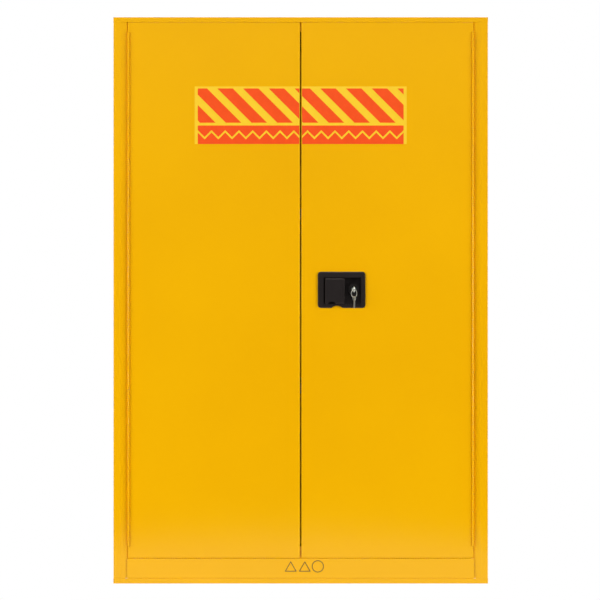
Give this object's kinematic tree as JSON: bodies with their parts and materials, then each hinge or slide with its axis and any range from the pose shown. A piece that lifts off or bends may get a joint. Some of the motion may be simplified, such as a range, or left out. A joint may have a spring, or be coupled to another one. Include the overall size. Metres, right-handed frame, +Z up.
{
  "type": "flammable storage cabinet",
  "caption": "Double-wall steel safety cabinet with twin piano-hinged doors, key-thrown three-point lock, spill shelves, leak-proof sump and plugged vents",
  "frame": {"origin": "centre of the base rectangle on the floor plane", "axes": "+Z up, the doors face -Y, +X to the right when seen from the front"},
  "size_m": [1.092, 0.511, 1.651],
  "materials": {
    "yellow_paint": "powder coat, semi-gloss",
    "galvanised": "galvanised sheet",
    "zinc_steel": "zinc plated",
    "nickel": "nickel plated",
    "black_metal": "black nickel plated zinc casting",
    "black_plastic": "moulded satin",
    "brass_hardware": "bare brass",
    "black_cap": "moulded matt",
    "label_film": "printed vinyl film",
    "mark_film": "printed vinyl film"
  },
  "bodies": {
    "cabinet": {"outer_side_left": "yellow_paint", "outer_side_right": "yellow_paint", "outer_back": "yellow_paint", "outer_top": "yellow_paint", "base_pan": "yellow_paint", "top_rail": "yellow_paint", "sill_rail": "yellow_paint", "inner_side_left": "yellow_paint", "inner_side_right": "yellow_paint", "inner_back": "yellow_paint", "inner_top": "yellow_paint", "sump_pan": "yellow_paint", "wall_spacers": "galvanised", "shelf_standards": "yellow_paint", "shelf_clips": "galvanised", "vent_flanges": "yellow_paint", "flame_screens": "zinc_steel", "ground_stud": "brass_hardware", "foot_nuts": "galvanised", "rod_strikes": "galvanised", "rail_marker": "mark_film", "frame_leaf_left": "yellow_paint", "frame_leaf_right": "yellow_paint", "hinge_pins": "zinc_steel"},
    "left_door": {"left_outer_skin": "yellow_paint", "left_inner_skin": "yellow_paint", "left_stiffeners": "galvanised", "door_leaf_left": "yellow_paint", "centre_strike": "galvanised", "label_left": "label_film"},
    "right_door": {"right_outer_skin": "yellow_paint", "right_inner_skin": "yellow_paint", "right_stiffeners": "galvanised", "door_leaf_right": "yellow_paint", "label_right": "label_film", "handle_bezel": "black_plastic", "handle_screws": "zinc_steel", "paddle_pin": "black_metal", "paddle_spring": "zinc_steel", "lock_housing": "black_metal", "lock_nut": "zinc_steel", "rod_guides": "galvanised"},
    "paddle": {"paddle": "black_plastic"},
    "lock": {"lock_plug": "nickel", "lock_cam": "zinc_steel"},
    "key": {"key": "nickel"},
    "key_ring": {"key_ring": "nickel"},
    "spare_key": {"spare_key": "nickel"},
    "top_rod": {"top_rod": "zinc_steel"},
    "bottom_rod": {"bottom_rod": "zinc_steel"},
    "centre_bolt": {"centre_bolt": "zinc_steel"},
    "vent_plug_left": {"vent_plug_left": "black_cap"},
    "vent_plug_right": {"vent_plug_right": "black_cap"},
    "shelf_upper": {"shelf_upper": "galvanised"},
    "shelf_lower": {"shelf_lower": "galvanised"},
    "foot_front_left": {"foot_front_left": "zinc_steel"},
    "foot_front_right": {"foot_front_right": "zinc_steel"},
    "foot_rear_left": {"foot_rear_left": "zinc_steel"},
    "foot_rear_right": {"foot_rear_right": "zinc_steel"}
  },
  "joints": [
    {"name": "left_door_hinge", "type": "hinge", "parent": "cabinet", "child": "left_door", "pos_m": [-0.5018, -0.2301, 0.858], "axis": [0, 0, -1], "range_deg": [0, 180]},
    {"name": "right_door_hinge", "type": "hinge", "parent": "cabinet", "child": "right_door", "pos_m": [0.5018, -0.2301, 0.858], "axis": [0, 0, 1], "range_deg": [0, 180]},
    {"name": "paddle_pivot", "type": "hinge", "parent": "right_door", "child": "paddle", "pos_m": [0.0762, -0.2295, 0.8525], "axis": [0, 0, -1], "range_deg": [0, 35]},
    {"name": "lock_turn", "type": "hinge", "parent": "right_door", "child": "lock", "pos_m": [0.1552, -0.215, 0.857], "axis": [0, 1, 0], "range_deg": [0, 90]},
    {"name": "top_rod_slide", "type": "slide", "parent": "right_door", "child": "top_rod", "axis": [0, 0, 1], "range_m": [0, 0.01414]},
    {"name": "bottom_rod_slide", "type": "slide", "parent": "right_door", "child": "bottom_rod", "axis": [0, 0, -1], "range_m": [0, 0.01415]},
    {"name": "centre_bolt_slide", "type": "slide", "parent": "right_door", "child": "centre_bolt", "axis": [-1, 0, 0], "range_m": [0, 0.01415]},
    {"name": "key_slide", "type": "slide", "parent": "lock", "child": "key", "axis": [0, -1, 0], "range_m": [0, 0.022]},
    {"name": "ring_swing", "type": "hinge", "parent": "key", "child": "key_ring", "pos_m": [0.1552, -0.2465, 0.857], "axis": [-1, 0, 0], "range_deg": [0, 60]},
    {"name": "spare_key_swing", "type": "hinge", "parent": "key_ring", "child": "spare_key", "pos_m": [0.1552, -0.2465, 0.834], "axis": [-0.866, -0.5, 0], "range_deg": [0, 45]},
    {"name": "vent_plug_left_out", "type": "slide", "parent": "cabinet", "child": "vent_plug_left", "axis": [-1, 0, 0], "range_m": [0, 0.03]},
    {"name": "vent_plug_right_out", "type": "slide", "parent": "cabinet", "child": "vent_plug_right", "axis": [1, 0, 0], "range_m": [0, 0.03]},
    {"name": "shelf_upper_lift", "type": "slide", "parent": "cabinet", "child": "shelf_upper", "axis": [0, 0, 1], "range_m": [0, 0.05]},
    {"name": "shelf_lower_lift", "type": "slide", "parent": "cabinet", "child": "shelf_lower", "axis": [0, 0, 1], "range_m": [0, 0.05]},
    {"name": "foot_front_left_screw", "type": "slide", "parent": "cabinet", "child": "foot_front_left", "axis": [0, 0, -1], "range_m": [0, 0.02]},
    {"name": "foot_front_right_screw", "type": "slide", "parent": "cabinet", "child": "foot_front_right", "axis": [0, 0, -1], "range_m": [0, 0.02]},
    {"name": "foot_rear_left_screw", "type": "slide", "parent": "cabinet", "child": "foot_rear_left", "axis": [0, 0, -1], "range_m": [0, 0.02]},
    {"name": "foot_rear_right_screw", "type": "slide", "parent": "cabinet", "child": "foot_rear_right", "axis": [0, 0, -1], "range_m": [0, 0.02]}
  ],
  "couplings": [
    {"joint": "lock_turn", "follows": "top_rod_slide", "rad_per_m": 111.07},
    {"joint": "bottom_rod_slide", "follows": "top_rod_slide", "ratio": 1},
    {"joint": "centre_bolt_slide", "follows": "top_rod_slide", "ratio": 1}
  ]
}
